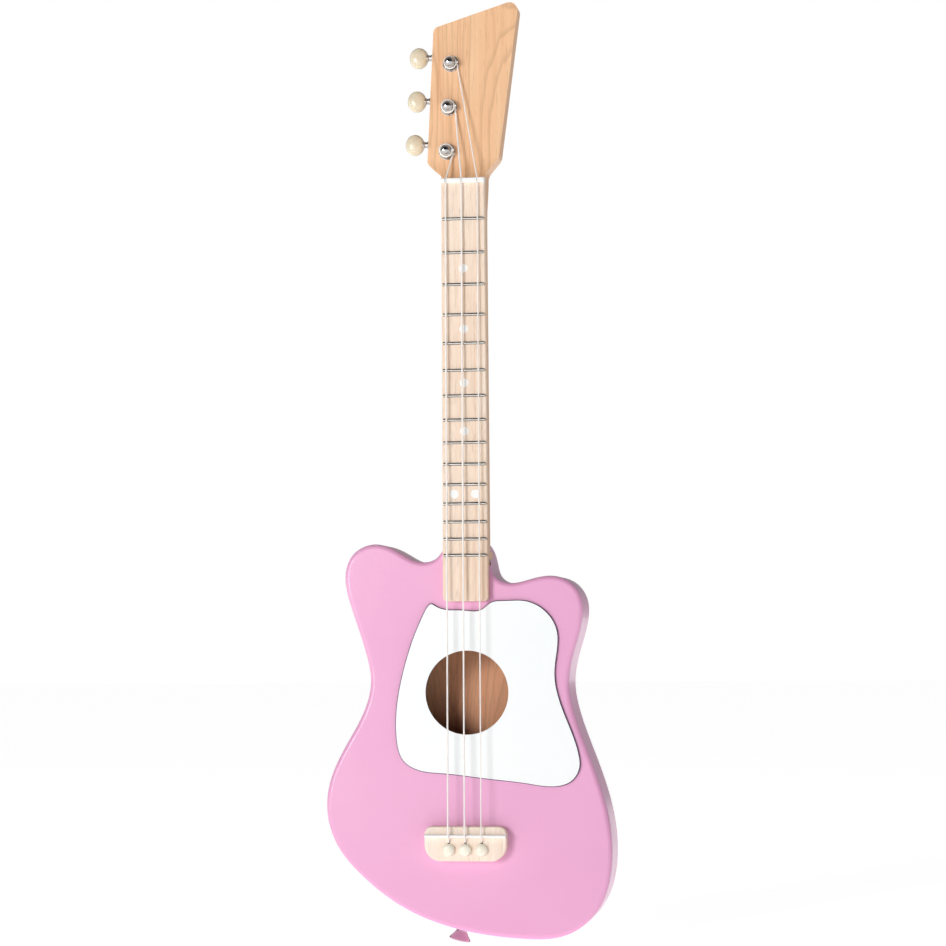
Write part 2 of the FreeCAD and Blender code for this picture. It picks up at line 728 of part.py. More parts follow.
def button_x(index):
    worm_z = tuner_places()[index][1] + WORM_CENTRE_DISTANCE
    return left_edge_x(worm_z) - BUTTON_OFFSET


def tuner_button(index):
    """A plump disc seen face-on from the front, with a collar towards the headstock."""
    x, z = button_x(index), tuner_places()[index][1] + WORM_CENTRE_DISTANCE
    radius, half = 6.2, 3.5
    profile = [(0, WORM_Y - half)]
    for step in range(0, 13):
        angle = -math.pi / 2 + math.pi * step / 12
        profile.append((radius - 2.6 + 2.6 * math.cos(angle), WORM_Y + half * math.sin(angle)))
    profile.append((0, WORM_Y + half))
    disc = turned_disc(x, z, profile)
    stretch = FreeCAD.Matrix()
    stretch.move(Vector(-x, 0, 0))
    stretch.scale(0.9, 1, 1)
    stretch.move(Vector(x, 0, 0))
    disc = disc.transformGeometry(stretch)
    collar = Part.makeCone(2.9, 2.2, 4.6, Vector(x + 3.6, WORM_Y, z), Vector(1, 0, 0))
    shaft = rod_x(WORM_Y, z, WORM_CORE_RADIUS, x - 1.5, x + 20)
    return disc.fuse(collar).cut(shaft)


def tuner_post(index):
    """Domed post with a cross hole for the string and a stud for the gear."""
    x, z = tuner_places()[index]
    profile = [(0, POST_TIP_Y)]
    for step in range(1, 9):
        angle = math.pi / 2 * step / 8
        profile.append((2.85 * math.sin(angle), POST_TIP_Y + 2.3 * (1 - math.cos(angle))))
    profile += [(2.5, POST_TIP_Y + 2.75), (POST_RADIUS, POST_TIP_Y + 3.1)]
    profile += [(POST_RADIUS, gear_hub_y()), (2.0, gear_hub_y())]
    profile += [(2.0, gear_back_y() - 0.3), (0, gear_back_y() - 0.3)]
    post = turned_disc(x, z, profile)
    hole = rod_x(string_tail_y(index), z, STRING_RADII[index] + 0.12, x - 5, x + 5)
    tapped = rod_y(x, z, 1.02, 12, gear_back_y())
    return post.cut(hole).cut(tapped)


def gear_hub_y():
    return TUNER_PLATE_BACK_Y + 0.2


def gear_back_y():
    return WORM_Y + GEAR_THICKNESS / 2


def tuner_gear(index):
    """Fourteen teeth, with a gap facing the worm at rest."""
    x, z = tuner_places()[index]
    outer = GEAR_PITCH_RADIUS + 0.7
    root = WORM_CENTRE_DISTANCE - WORM_THREAD_RADIUS - 0.4
    y0, y1 = WORM_Y - GEAR_THICKNESS / 2, gear_back_y()
    wheel = rod_y(x, z, outer, y0, y1)
    floor_half, mouth_half = 0.6, 0.95
    mouth = z + outer + 1
    corners = [
        (x - floor_half, z + root),
        (x + floor_half, z + root),
        (x + mouth_half, mouth),
        (x - mouth_half, mouth),
    ]
    for tooth in range(GEAR_TEETH):
        gap = slab(polygon(corners), y0 - 1, y1 + 1)
        gap.rotate(Vector(x, 0, z), Vector(0, 1, 0), 360 * tooth / GEAR_TEETH)
        wheel = wheel.cut(gap)
    wheel = wheel.fuse(rod_y(x, z, 3.4, gear_hub_y(), y0))
    return wheel.cut(rod_y(x, z, 2.01, 10, y1 + 1))


def slotted_head(x, z, radius, y0, height):
    head = rod_y(x, z, radius, y0, y0 + height)
    head = head.makeFillet(height * 0.55, edges_at_y(head, y0 + height))
    slot = box(x - radius, x + radius, y0 + height * 0.45, y0 + height + 1, z - 0.22, z + 0.22)
    return head.cut(slot)


def tuner_gear_screw(index):
    x, z = tuner_places()[index]
    head = slotted_head(x, z, 2.5, gear_back_y(), 1.3)
    return head.fuse(rod_y(x, z, 1.0, gear_back_y() - 6, gear_back_y() + 0.1))


def tuner_bushing(index):
    x, z = tuner_places()[index]
    inner = POST_RADIUS + RUNNING_CLEARANCE
    face = HEADSTOCK_FACE_Y
    profile = [(inner, face - 0.8), (4.2, face - 0.8), (4.7, face - 0.35), (4.7, face)]
    profile += [(3.98, face), (3.98, 6.9), (inner, 6.9)]
    return turned_disc(x, z, profile)


def tuner_mounting_screws():
    screws = []
    for x, z in tuner_screw_places():
        head = slotted_head(x, z, 1.9, TUNER_PLATE_BACK_Y, 1.0)
        screws.append(head.fuse(rod_y(x, z, 0.93, 7.0, TUNER_PLATE_BACK_Y + 0.1)).removeSplitter().Solids[0])
    return Part.makeCompound(screws)


# ---- fasteners and strap button --------------------------------------------------


def neck_screw_ferrules():
    rings = []
    for x, z in neck_screw_places():
        profile = [(2.2, INNER_BACK_Y), (4.48, INNER_BACK_Y), (4.48, BACK_Y - 0.1), (3.9, BACK_Y - 0.1)]
        profile += [(2.2, BACK_Y - 1.8)]
        rings.append(turned_disc(x, z, profile))
    return Part.makeCompound(rings)


def neck_screws():
    screws = []
    for x, z in neck_screw_places():
        profile = [(0, 3.2), (1.55, 4.6), (1.55, HEEL_FLOOR_Y), (2.0, HEEL_FLOOR_Y), (2.0, BACK_Y - 2.0)]
        profile += [(3.5, BACK_Y - 0.4), (0, BACK_Y - 0.4)]
        screw = turned_disc(x, z, profile)
        for angle in (45, 135):
            slot = box(x - 1.9, x + 1.9, BACK_Y - 1.5, BACK_Y, z - 0.35, z + 0.35)
            slot.rotate(Vector(x, 0, z), Vector(0, 1, 0), angle)
            screw = screw.cut(slot)
        screws.append(screw)
    return Part.makeCompound(screws)


def strap_seat():
    """Where the strap button sits on the body's edge, and its outward direction."""
    edge = smooth_outline(BODY_POINTS).Edges[0]
    ray = Part.makeLine(Vector(STRAP_BUTTON_X, 0, -400), Vector(STRAP_BUTTON_X, 0, -460))
    seat = edge.distToShape(ray)[1][0][0]
    tangent = edge.Curve.tangent(edge.Curve.parameter(seat))[0]
    outward = Vector(tangent.z, 0, -tangent.x)
    if outward.z > 0:
        outward = outward * -1
    return Vector(seat.x, BODY_DEPTH / 2, seat.z), outward


def strap_screw_hole():
    seat, outward = strap_seat()
    return Part.makeCylinder(1.5, 22, seat - outward * 20, outward)


def along_strap_axis(profile):
    """Turn a (radius, distance) profile about the strap button's axis."""
    seat, outward = strap_seat()
    corners = [Vector(radius, 0, reach) for radius, reach in profile]
    solid = Part.Face(Part.makePolygon(corners + corners[:1])).revolve(Vector(), Vector(0, 0, 1), 360)
    turn = FreeCAD.Rotation(Vector(0, 0, 1), outward)
    solid.Placement = FreeCAD.Placement(seat, turn)
    return solid


def strap_button():
    profile = [(1.6, 0.05), (3.4, 0.05), (2.9, 1.2), (3.2, 2.6), (4.4, 4.6), (6.0, 6.6)]
    profile += [(6.3, 7.2), (6.1, 7.7), (5.2, 8.0), (3.4, 8.0), (3.1, 6.6), (1.6, 5.2)]
    return along_strap_axis(profile)


def strap_button_screw():
    profile = [(0, -17), (1.4, -14), (1.4, 5.25), (1.6, 5.25), (2.95, 6.65), (2.6, 7.5), (0, 7.7)]
    return along_strap_axis(profile)


# ---- every piece -----------------------------------------------------------------


def body_pieces():
    outline = smooth_outline(BODY_POINTS)
    inner = inset(outline, RIM_THICKNESS)
    core = inset(outline, RIM_THICKNESS + LINING_THICKNESS)
    front = (INNER_FACE_Y, INNER_FACE_Y + LINING_HEIGHT)
    rear = (INNER_BACK_Y - LINING_HEIGHT, INNER_BACK_Y)
    return {
        "soundboard": soundboard(outline),
        "side_rim": side_rim(outline, inner),
        "back_plate": back_plate(outline),
        "front_lining": lining(inner, core, *front),
        "back_lining": lining(inner, core, *rear),
        "neck_block": neck_block(inner),
        "tail_block": tail_block(inner),
        "soundboard_brace_upper": brace(core, -259, 7, *front),
        "soundboard_brace_lower": brace(core, -326, 7, *front),
        "back_brace": brace(core, -344, 9, *rear),
        "bridge_plate": bridge_plate(),
        "pickguard": pickguard(),
    }


def neck_pieces():
    return {
        "neck": neck(),
        "fretboard": fretboard(),
        "frets": frets(),
        "fret_markers": fret_markers(),
        "nut": nut(),
        "neck_screws": neck_screws(),
        "neck_screw_ferrules": neck_screw_ferrules(),
    }


def bridge_pieces():
    pieces = {"bridge": bridge(), "saddle": saddle()}
    for index in range(3):
        pieces["bridge_pin_%d" % (index + 1)] = bridge_pin(index)
        pieces["string_%d" % (index + 1)] = string(index)
        pieces["string_winding_%d" % (index + 1)] = string_winding(index)
    return pieces


def tuner_pieces():
    makers = (tuner_base_plate, tuner_worm_shaft, tuner_button, tuner_post, tuner_gear)
    makers += (tuner_gear_screw, tuner_bushing)
    pieces = {"tuner_mounting_screws": tuner_mounting_screws()}
    for index in range(3):
        for maker in makers:
            pieces["%s_%d" % (maker.__name__, index + 1)] = maker(index)
    return pieces


def main():
    os.makedirs("parts", exist_ok=True)
    pieces = {"strap_button": strap_button(), "strap_button_screw": strap_button_screw()}
    for group in (body_pieces, neck_pieces, bridge_pieces, tuner_pieces):
        pieces.update(group())
    for name, shape in pieces.items():
        save(name, shape)


main()
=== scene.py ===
import json
import math

import bmesh
import bpy
from mathutils import Matrix, Vector


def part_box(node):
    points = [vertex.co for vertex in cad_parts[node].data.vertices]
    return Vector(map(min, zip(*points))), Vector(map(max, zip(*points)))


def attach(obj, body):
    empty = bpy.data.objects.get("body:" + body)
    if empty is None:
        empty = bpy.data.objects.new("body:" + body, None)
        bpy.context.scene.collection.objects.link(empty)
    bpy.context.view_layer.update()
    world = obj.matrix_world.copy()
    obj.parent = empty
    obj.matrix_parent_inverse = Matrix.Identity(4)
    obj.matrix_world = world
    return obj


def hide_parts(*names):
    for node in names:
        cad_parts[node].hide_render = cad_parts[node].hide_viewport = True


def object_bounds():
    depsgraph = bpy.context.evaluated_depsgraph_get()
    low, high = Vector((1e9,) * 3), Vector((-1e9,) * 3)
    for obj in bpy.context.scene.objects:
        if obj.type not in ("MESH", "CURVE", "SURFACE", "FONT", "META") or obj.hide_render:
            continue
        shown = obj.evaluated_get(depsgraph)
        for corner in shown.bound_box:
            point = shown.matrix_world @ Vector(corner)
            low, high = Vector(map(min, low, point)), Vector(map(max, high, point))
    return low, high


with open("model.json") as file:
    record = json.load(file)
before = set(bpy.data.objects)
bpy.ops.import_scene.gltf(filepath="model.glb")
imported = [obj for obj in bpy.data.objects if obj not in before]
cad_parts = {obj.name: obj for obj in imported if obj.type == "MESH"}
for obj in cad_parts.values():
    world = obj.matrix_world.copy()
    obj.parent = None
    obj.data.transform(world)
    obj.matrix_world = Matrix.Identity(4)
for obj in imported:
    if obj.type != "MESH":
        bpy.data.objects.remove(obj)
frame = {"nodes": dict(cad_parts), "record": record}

CAD_LOW, CAD_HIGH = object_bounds()

MM = 0.001

# ---- the view: turned to the face's right, a little below it, from far off ------------
VIEW_YAW = math.radians(8.5)
VIEW_PITCH = math.radians(-3.85)
VIEW_ROLL = math.radians(-0.38)
VIEW_DISTANCE = 1.5
VIEW_AIM = Vector((4.1 * MM, 0, -166.3 * MM))
LENS_PER_SENSOR = 2.7816
SENSOR_WIDTH = 36.0

# ---- where the lacquer stops and bare wood or painted shade starts ---------------------
HOLE_Z = -291 * MM
HOLE_RADIUS = 24.15 * MM
HOLE_MARGIN = 0.6 * MM
FACES_INWARD = 0.5
GUARD_EDGE_BELOW = 0.8
FRET_FOOT_ABOVE = 0.62

# ---- maple grain along Z: scales in (x, y, z), and a small z draws a pattern out -------
ARCH_STRETCH = (1.0, 1.0, 0.16)
ARCH_SHIFT = (0.013, 0.0, 0.021)
WANDER_STRETCH = (1, 1, 0.1)
GROWTH_LINES = 24.0
LINE_WANDER = 0.9
FIBRE_SCALE = (430, 430, 11)
CLOUD_SCALE = (60, 60, 9)
PORE_SCALE = (1300, 1300, 110)

# ---- turned pieces ---------------------------------------------------------------------
LATHE_SIDES = 72
POLE_RADIUS = 1e-7

PIN_HEAD = 3.2 * MM
PIN_DOME_STEPS = 24
PIN_DOME_SWEEP = math.pi * 0.66
PIN_DOME_RISE = 0.585
PIN_DOME_PLUMPNESS = 0.86

BUTTON_SQUEEZE = 0.9
BUTTON_PLUMPNESS = 2.35
BUTTON_STEPS = 28
COLLAR_IN_BUTTON = 0.9 * MM
# Points of (radius, distance from that end) in mm, both in order from the button outwards.
COLLAR_NEAR_END = [(0.0, 0.0), (2.1, 0.0), (2.25, 0.25), (2.0, 0.9), (1.75, 1.3)]
COLLAR_FAR_END = [(1.7, 1.3), (2.0, 0.9), (2.2, 0.5), (2.2, 0.1), (2.0, 0.0), (0.0, 0.0)]

# ---- the fairing behind the nut --------------------------------------------------------
THROAT_BOTTOM = -24 * MM
THROAT_HEIGHT = 24.6 * MM
THROAT_HALF_WIDTH = 12.5 * MM
THROAT_BACK = 14 * MM
THROAT_INSET = 5 * MM
THROAT_ROUND, THROAT_SQUARE = 0.79, 0.13
THROAT_SUNK, THROAT_LIFT = -0.12 * MM, 0.13 * MM
THROAT_STEPS, THROAT_SIDES = 16, 48

# ---- stage and light -------------------------------------------------------------------
WHITE = (1, 1, 1, 1)
FLOOR_GAP = 0.6 * MM
FLOOR_SIZE = 12
FLOOR_GLOW = 0.74
WORLD_RISE = {"From Min": -0.75, "From Max": 0.1, "To Min": 0.03, "To Max": 0.36}
KEY_PLACE = Vector((-1.06, -2.04, 0.02))
KEY_AIM = Vector((0, 0, -0.2))
KEY_SIZE = 0.75
KEY_POWER = 25.5


# ---- node helpers ----------------------------------------------------------------------


class Nodes:
    """A short way to write a shader's node tree."""

    def __init__(self, name):
        self.material = bpy.data.materials.new(name)
        self.material.use_nodes = True
        self.tree = self.material.node_tree
        self.shader = self.tree.nodes["Principled BSDF"]
        self.place = self.add("ShaderNodeTexCoord").outputs["Object"]

    def add(self, kind, **settings):
        node = self.tree.nodes.new(kind)
        for key, value in settings.items():
            setattr(node, key, value)
        return node

    def put(self, socket, value):
        if isinstance(value, bpy.types.NodeSocket):
            self.tree.links.new(value, socket)
        else:
            socket.default_value = value

    def set(self, **values):
        """Values or links for the surface shader, with _ for a space in a socket's name."""
        for key, value in values.items():
            self.put(self.shader.inputs[key.replace("_", " ")], value)

    def math(self, operation, first, second=0.0):
        node = self.add("ShaderNodeMath", operation=operation)
        self.put(node.inputs[0], first)
        self.put(node.inputs[1], second)
        return node.outputs[0]

    def stretched(self, scale, shift=(0, 0, 0), turn=(0, 0, 0)):
        node = self.add("ShaderNodeMapping")
        self.put(node.inputs["Vector"], self.place)
        node.inputs["Location"].default_value = shift
        node.inputs["Rotation"].default_value = turn
        node.inputs["Scale"].default_value = scale
        return node.outputs["Vector"]

    def noise(self, scale, detail, roughness=0.5, vector=None, distortion=0.0):
        node = self.add("ShaderNodeTexNoise")
        self.put(node.inputs["Vector"], self.place if vector is None else vector)
        node.inputs["Scale"].default_value = scale
        node.inputs["Detail"].default_value = detail
        node.inputs["Roughness"].default_value = roughness
        node.inputs["Distortion"].default_value = distortion
        return node.outputs["Fac"]

    def ramp(self, factor, stops, smooth=False):
        node = self.add("ShaderNodeValToRGB")
        self.put(node.inputs["Fac"], factor)
        ramp = node.color_ramp
        ramp.interpolation = "EASE" if smooth else "LINEAR"
        while len(ramp.elements) < len(stops):
            ramp.elements.new(0.5)
        for element, (position, colour) in zip(ramp.elements, stops):
            element.position = position
            element.color = (*colour, 1)
        return node.outputs["Color"]

    def level(self, factor, low, high, to_low, to_high):
        node = self.add("ShaderNodeMapRange")
        self.put(node.inputs["Value"], factor)
        ends = {"From Min": low, "From Max": high, "To Min": to_low, "To Max": to_high}
        for key, value in ends.items():
            node.inputs[key].default_value = value
        return node.outputs["Result"]

    def over(self, factor, under, colour):
        """Lays a plain colour over what is under it, by a factor."""
        node = self.add("ShaderNodeMix", data_type="RGBA")
        self.put(node.inputs["Factor"], factor)
        self.put(node.inputs[6], under)
        self.put(node.inputs[7], (*colour, 1))
        return node.outputs[2]

    def bump(self, height, strength, distance, below=None):
        node = self.add("ShaderNodeBump")
        node.inputs["Strength"].default_value = strength
        node.inputs["Distance"].default_value = distance
        self.put(node.inputs["Height"], height)
        if below is not None:
            self.put(node.inputs["Normal"], below)
        return node.outputs["Normal"]


def srgb(red, green, blue):
    """An 8-bit screen colour as linear light."""
    def linear(value):
        share = value / 255
        return share / 12.92 if share <= 0.04045 else ((share + 0.055) / 1.055) ** 2.4
    return tuple(linear(value) for value in (red, green, blue))


def dimmed(colour, share):
    return tuple(value * share for value in colour)


# ---- materials -------------------------------------------------------------------------


def lacquer():
    """Pink lacquer: a nearly even coat with faint ripple and a soft clear gloss."""
    nodes = Nodes("pink_lacquer")
    cloud = nodes.noise(9.0, 3.0)
    colour = nodes.ramp(cloud, [(0.3, srgb(236, 167, 208)), (0.7, srgb(241, 176, 214))])
    peel = nodes.noise(420.0, 2.0, 0.4)
    ripple = nodes.noise(38.0, 2.0)
    fine = nodes.bump(peel, 0.12, 0.0004)
    normal = nodes.bump(ripple, 0.10, 0.002, fine)
    roughness = nodes.level(nodes.noise(60.0, 4.0, 0.6), 0.3, 0.7, 0.30, 0.38)
    nodes.set(Base_Color=colour, Roughness=roughness, Normal=normal)
    nodes.set(Coat_Weight=0.35, Coat_Roughness=0.12)
    return nodes.material


def wood(name, shades, lines, coat, rough):
    """Maple: thin growth lines in drawn-out arches, silky fibre streaks and pore flecks along Z."""
    light, middle, dark = shades
    nodes = Nodes(name)
    arches = nodes.noise(26.0, 1.5, 0.45, nodes.stretched(ARCH_STRETCH, ARCH_SHIFT), 0.6)
    wander = nodes.noise(160.0, 2.0, 0.5, nodes.stretched(WANDER_STRETCH))
    steady = nodes.math("MULTIPLY", arches, GROWTH_LINES)
    phase = nodes.math("ADD", steady, nodes.math("MULTIPLY", wander, LINE_WANDER))
    year = [(0.0, (0, 0, 0)), (0.62, (0.12, 0.12, 0.12)), (0.9, (1, 1, 1)), (1.0, (0, 0, 0))]
    line = nodes.ramp(nodes.math("FRACT", phase), year)
    streak = nodes.noise(1.0, 5.0, 0.62, nodes.stretched(FIBRE_SCALE))
    broad = nodes.noise(1.0, 2.0, 0.5, nodes.stretched(CLOUD_SCALE))
    fleck = nodes.noise(1.0, 2.0, 0.5, nodes.stretched(PORE_SCALE))
    tone = nodes.math("ADD", nodes.math("MULTIPLY", streak, 0.6), nodes.math("MULTIPLY", broad, 0.4))
    colour = nodes.ramp(tone, [(0.30, dark), (0.48, middle), (0.66, light)], smooth=True)
    colour = nodes.over(nodes.math("MULTIPLY", line, lines), colour, dimmed(dark, 0.55))
    spots = nodes.level(fleck, 0.60, 0.72, 0.0, 0.4)
    colour = nodes.over(spots, colour, dimmed(middle, 0.6))
    relief = nodes.math("ADD", streak, nodes.math("MULTIPLY", fleck, 0.7))
    normal = nodes.bump(relief, 0.2, 0.0003)
    roughness = nodes.level(streak, 0.3, 0.7, rough - 0.06, rough + 0.08)
    nodes.set(Base_Color=colour, Roughness=roughness, Normal=normal)
    nodes.set(Coat_Weight=coat, Coat_Roughness=0.25)
    return nodes.material


def plastic(name, colour, rough, cloudy=0.03, through=0.0):
    """Moulded or sheet plastic: even colour with faint clouding and fine handling marks."""
    nodes = Nodes(name)
    cloud = nodes.noise(120.0, 3.0)
    tint = nodes.ramp(cloud, [(0.35, dimmed(colour, 1 - 2 * cloudy)), (0.65, colour)])
    scratches = nodes.stretched((900, 900, 2600), turn=(0.3, 0.8, 0.2))
    marks = nodes.noise(1.0, 3.0, 0.7, scratches)
    normal = nodes.bump(marks, 0.05, 0.0002)
    roughness = nodes.level(marks, 0.3, 0.7, rough - 0.04, rough + 0.06)
    nodes.set(Base_Color=tint, Roughness=roughness, Normal=normal, IOR=1.5)
    if through:
        nodes.set(Subsurface_Weight=through, Subsurface_Scale=1.0)
        nodes.set(Subsurface_Radius=(0.004, 0.003, 0.0018))
    return nodes.material


def metal(name, colour, rough, brushed=0.0):
    """Plated or machined metal, with fine marks and slight tarnish in its gloss."""
    nodes = Nodes(name)
    marks = nodes.noise(1.0, 4.0, 0.7, nodes.stretched((600, 600, 600)))
    haze = nodes.noise(160.0, 3.0)
    tint = nodes.ramp(haze, [(0.3, dimmed(colour, 0.93)), (0.7, colour)])
    roughness = nodes.level(nodes.math("ADD", marks, haze), 0.7, 1.3, rough * 0.7, rough * 1.5)
    nodes.set(Base_Color=tint, Metallic=1.0, Roughness=roughness)
    nodes.set(Normal=nodes.bump(marks, 0.04 + brushed, 0.0002))
    return nodes.material


def slot_materials():
    """A material for each slot in the record, then four for some faces or pieces of a slot."""
    maple = (srgb(248, 203, 159), srgb(243, 193, 148), srgb(226, 168, 121))
    pale = (srgb(250, 232, 214), srgb(244, 220, 198), srgb(222, 186, 158))
    bridge = (srgb(253, 238, 222), srgb(249, 230, 212), srgb(240, 214, 192))
    # The inside wood is darkened as painted shade for the hollow; the back's inner face gets a
    # lighter copy of it as painted light.
    shaded_inside = (srgb(132, 84, 58), srgb(118, 74, 50), srgb(98, 60, 40))
    lit_inner_back = (srgb(253, 192, 148), srgb(248, 176, 132), srgb(226, 146, 106))
    return {
        "pink_lacquer": lacquer(),
        "interior_wood": wood("interior_wood", shaded_inside, 0.25, 0.0, 0.62),
        "pickguard_white": plastic("pickguard_white", srgb(252, 255, 255), 0.22, cloudy=0.003),
        "neck_maple": wood("neck_maple", maple, 0.32, 0.25, 0.42),
        "fretboard_maple": wood("fretboard_maple", pale, 0.10, 0.08, 0.5),
        "fret_metal": metal("fret_metal", (0.74, 0.72, 0.68), 0.2),
        "white_plastic": plastic("white_plastic", srgb(251, 251, 249), 0.28, cloudy=0.01),
        "bridge_wood": wood("bridge_wood", bridge, 0.10, 0.05, 0.5),
        "cream_plastic": plastic("cream_plastic", srgb(252, 246, 228), 0.22, through=0.15),
        "nylon": plastic("nylon", srgb(252, 246, 240), 0.2, through=0.2),
        "chrome": metal("chrome", (0.55, 0.54, 0.53), 0.06),
        "plated_steel": metal("plated_steel", (0.58, 0.575, 0.57), 0.22),
        "brass": metal("brass", (0.78, 0.60, 0.30), 0.25, brushed=0.01),
        # A lighter copy of the inside wood for the back's inner face: painted light.
        "lit_inner_back": wood("lit_inner_back", lit_inner_back, 0.25, 0.0, 0.6),
        # Dark mauve for the pickguard's cut edge: painted shade.
        "guard_edge_shade": plastic("guard_edge_shade", srgb(84, 58, 92), 0.4),
        # Near-black on the frets' flanks: painted shade.
        "fret_foot_shade": metal("fret_foot_shade", (0.06, 0.05, 0.045), 0.4),
        # A darker copy of the cream plastic for the tuner buttons: painted shade.
        "shaded_button_cream": plastic("shaded_button_cream", srgb(232, 220, 194), 0.2, through=0.15),
    }


def dress_nodes(materials):
    for part in frame["record"]["subparts"]:
        node = frame["nodes"][part["node"]]
        node.data.materials.clear()
        node.data.materials.append(materials[part["material_slot"]])


def second_material(name, material, chosen):
    """Gives the chosen ones of a CAD node's faces another material."""
    mesh = frame["nodes"][name].data
    mesh.materials.append(material)
    for polygon in mesh.polygons:
        polygon.material_index = int(chosen(polygon))


def outer_wall(mesh):
    """Indices of the faces joined to the outermost one, up to the mesh's hard edges."""
    shape = bmesh.new()
    shape.from_mesh(mesh)
    start = max(shape.faces, key=lambda face: face.calc_center_median().x)
    found, waiting = {start.index}, [start]
    while waiting:
        for edge in waiting.pop().edges:
            for face in edge.link_faces:
                if face.index not in found:
                    found.add(face.index)
                    waiting.append(face)
    shape.free()
    return found


def bare_inside(materials):
    """The body is lacquered outside only: faces that look into the hollow, and the sound hole's
    wall, stay bare wood darkened as painted shade; the back's inner face takes a lighter copy as
    painted light.
    """
    wall = outer_wall(frame["nodes"]["side_rim"].data)

    def board_inside(polygon):
        from_hole = math.hypot(polygon.center.x, polygon.center.z - HOLE_Z)
        return polygon.normal.y > FACES_INWARD or from_hole < HOLE_RADIUS + HOLE_MARGIN

    def rim_inside(polygon):
        return polygon.index not in wall

    def lit_back_inside(polygon):
        return polygon.normal.y < -FACES_INWARD

    second_material("soundboard", materials["interior_wood"], board_inside)
    second_material("side_rim", materials["interior_wood"], rim_inside)
    second_material("back_plate", materials["lit_inner_back"], lit_back_inside)


def dark_edges(materials):
    """The pickguard's cut edge and the frets' feet are darkened as painted shade."""
    def guard_edge(polygon):
        return abs(polygon.normal.y) < GUARD_EDGE_BELOW

    def fret_foot_shade(polygon):
        return abs(polygon.normal.z) > FRET_FOOT_ABOVE

    second_material("pickguard", materials["guard_edge_shade"], guard_edge)
    second_material("frets", materials["fret_foot_shade"], fret_foot_shade)


# ---- pieces ----------------------------------------------------------------------------


def as_object(name, shape):
    """Puts a bmesh into the scene as an object."""
    data = bpy.data.meshes.new(name)
    shape.to_mesh(data)
    shape.free()
    obj = bpy.data.objects.new(name, data)
    bpy.context.scene.collection.objects.link(obj)
    return obj


def finish_piece(obj, body, material, replaced=None):
    obj.data.materials.append(material)
    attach(obj, body)
    if replaced:
        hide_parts(replaced)


def lathe(name, profile, place, axis, squeeze=(1, 1, 1)):
    """Turns a profile of (radius, distance along the axis) about an axis through place."""
    mesh = bmesh.new()
    rings = []
    for radius, along in profile:
        if radius < POLE_RADIUS:
            rings.append([mesh.verts.new((0, 0, along))])
            continue
        ring = []
        for side in range(LATHE_SIDES):
            angle = math.tau * side / LATHE_SIDES
            ring.append(mesh.verts.new((radius * math.cos(angle), radius * math.sin(angle), along)))
        rings.append(ring)
    for low, high in zip(rings, rings[1:]):
        for side in range(LATHE_SIDES):
            after = (side + 1) % LATHE_SIDES
            if len(low) == 1:
                mesh.faces.new((low[0], high[after], high[side]))
            elif len(high) == 1:
                mesh.faces.new((low[side], low[after], high[0]))
            else:
                mesh.faces.new((low[side], low[after], high[after], high[side]))
    for face in mesh.faces:
        face.smooth = True
    bmesh.ops.recalc_face_normals(mesh, faces=mesh.faces)
    turn = Vector((0, 0, 1)).rotation_difference(Vector(axis)).to_matrix().to_4x4()
    mesh.transform(turn)
    mesh.transform(Matrix.Diagonal((*squeeze, 1)))
    mesh.transform(Matrix.Translation(place))
    return as_object(name, mesh)


def pin_outline(radius, length):
    """A full dome, a waist where it meets the bridge, and a tapered shank."""
    outline = [(0.0, 0.0)]
    for step in range(1, PIN_DOME_STEPS + 1):
        angle = PIN_DOME_SWEEP * step / PIN_DOME_STEPS
        across = radius * math.sin(angle) ** PIN_DOME_PLUMPNESS
        outline.append((across, PIN_HEAD * PIN_DOME_RISE * (1 - math.cos(angle))))
    waist = [(0.80, PIN_HEAD * 0.95), (0.76, PIN_HEAD), (0.71, PIN_HEAD + 0.2 * MM)]
    shank = [(0.70, PIN_HEAD + 0.5 * MM), (0.60, length - 3 * MM), (0.42, length - 0.5 * MM)]
    outline += [(radius * share, along) for share, along in waist + shank]
    return outline + [(0.0, length)]


def build_bridge_pins(materials):
    for number in (1, 2, 3):
        node = f"bridge_pin_{number}"
        low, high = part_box(node)
        middle = (low + high) / 2
        outline = pin_outline((high.x - low.x) / 2, high.y - low.y)
        pin = lathe(f"ball_head_pin_{number}", outline, (middle.x, low.y, middle.z), (0, 1, 0))
        finish_piece(pin, node, materials["cream_plastic"], node)


def plump_disc(radius, half):
    """The outline of a plump disc, from one pole to the other."""
    points = []
    for step in range(BUTTON_STEPS + 1):
        angle = -math.pi / 2 + math.pi * step / BUTTON_STEPS
        across = abs(math.cos(angle)) ** (2 / BUTTON_PLUMPNESS) * radius
        height = abs(math.sin(angle)) ** (2 / BUTTON_PLUMPNESS)
        along = math.copysign(height, math.sin(angle)) * half
        points.append((0.0 if step in (0, BUTTON_STEPS) else across, along))
    return points


def build_tuner_buttons(materials):
    """Plump oval buttons in a darker cream as painted shade, on short metal collars."""
    for number in (1, 2, 3):
        node = f"tuner_button_{number}"
        body = f"tuner_key_{number}"
        low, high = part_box(node)
        middle = (low + high) / 2
        radius, half = (high.z - low.z) / 2, (high.y - low.y) / 2
        half_width = radius * BUTTON_SQUEEZE
        place = Vector((low.x + half_width, middle.y, middle.z))
        squeeze = (BUTTON_SQUEEZE, 1, 1)
        disc = lathe(f"button_{number}", plump_disc(radius, half), place, (0, 1, 0), squeeze)
        finish_piece(disc, body, materials["shaded_button_cream"], node)

        start = place.x + half_width - COLLAR_IN_BUTTON
        reach = high.x - start
        outline = [(across * MM, along * MM) for across, along in COLLAR_NEAR_END]
        outline += [(across * MM, reach - along * MM) for across, along in COLLAR_FAR_END]
        collar = lathe(f"button_collar_{number}", outline, (start, middle.y, middle.z), (1, 0, 0))
        finish_piece(collar, body, materials["plated_steel"])


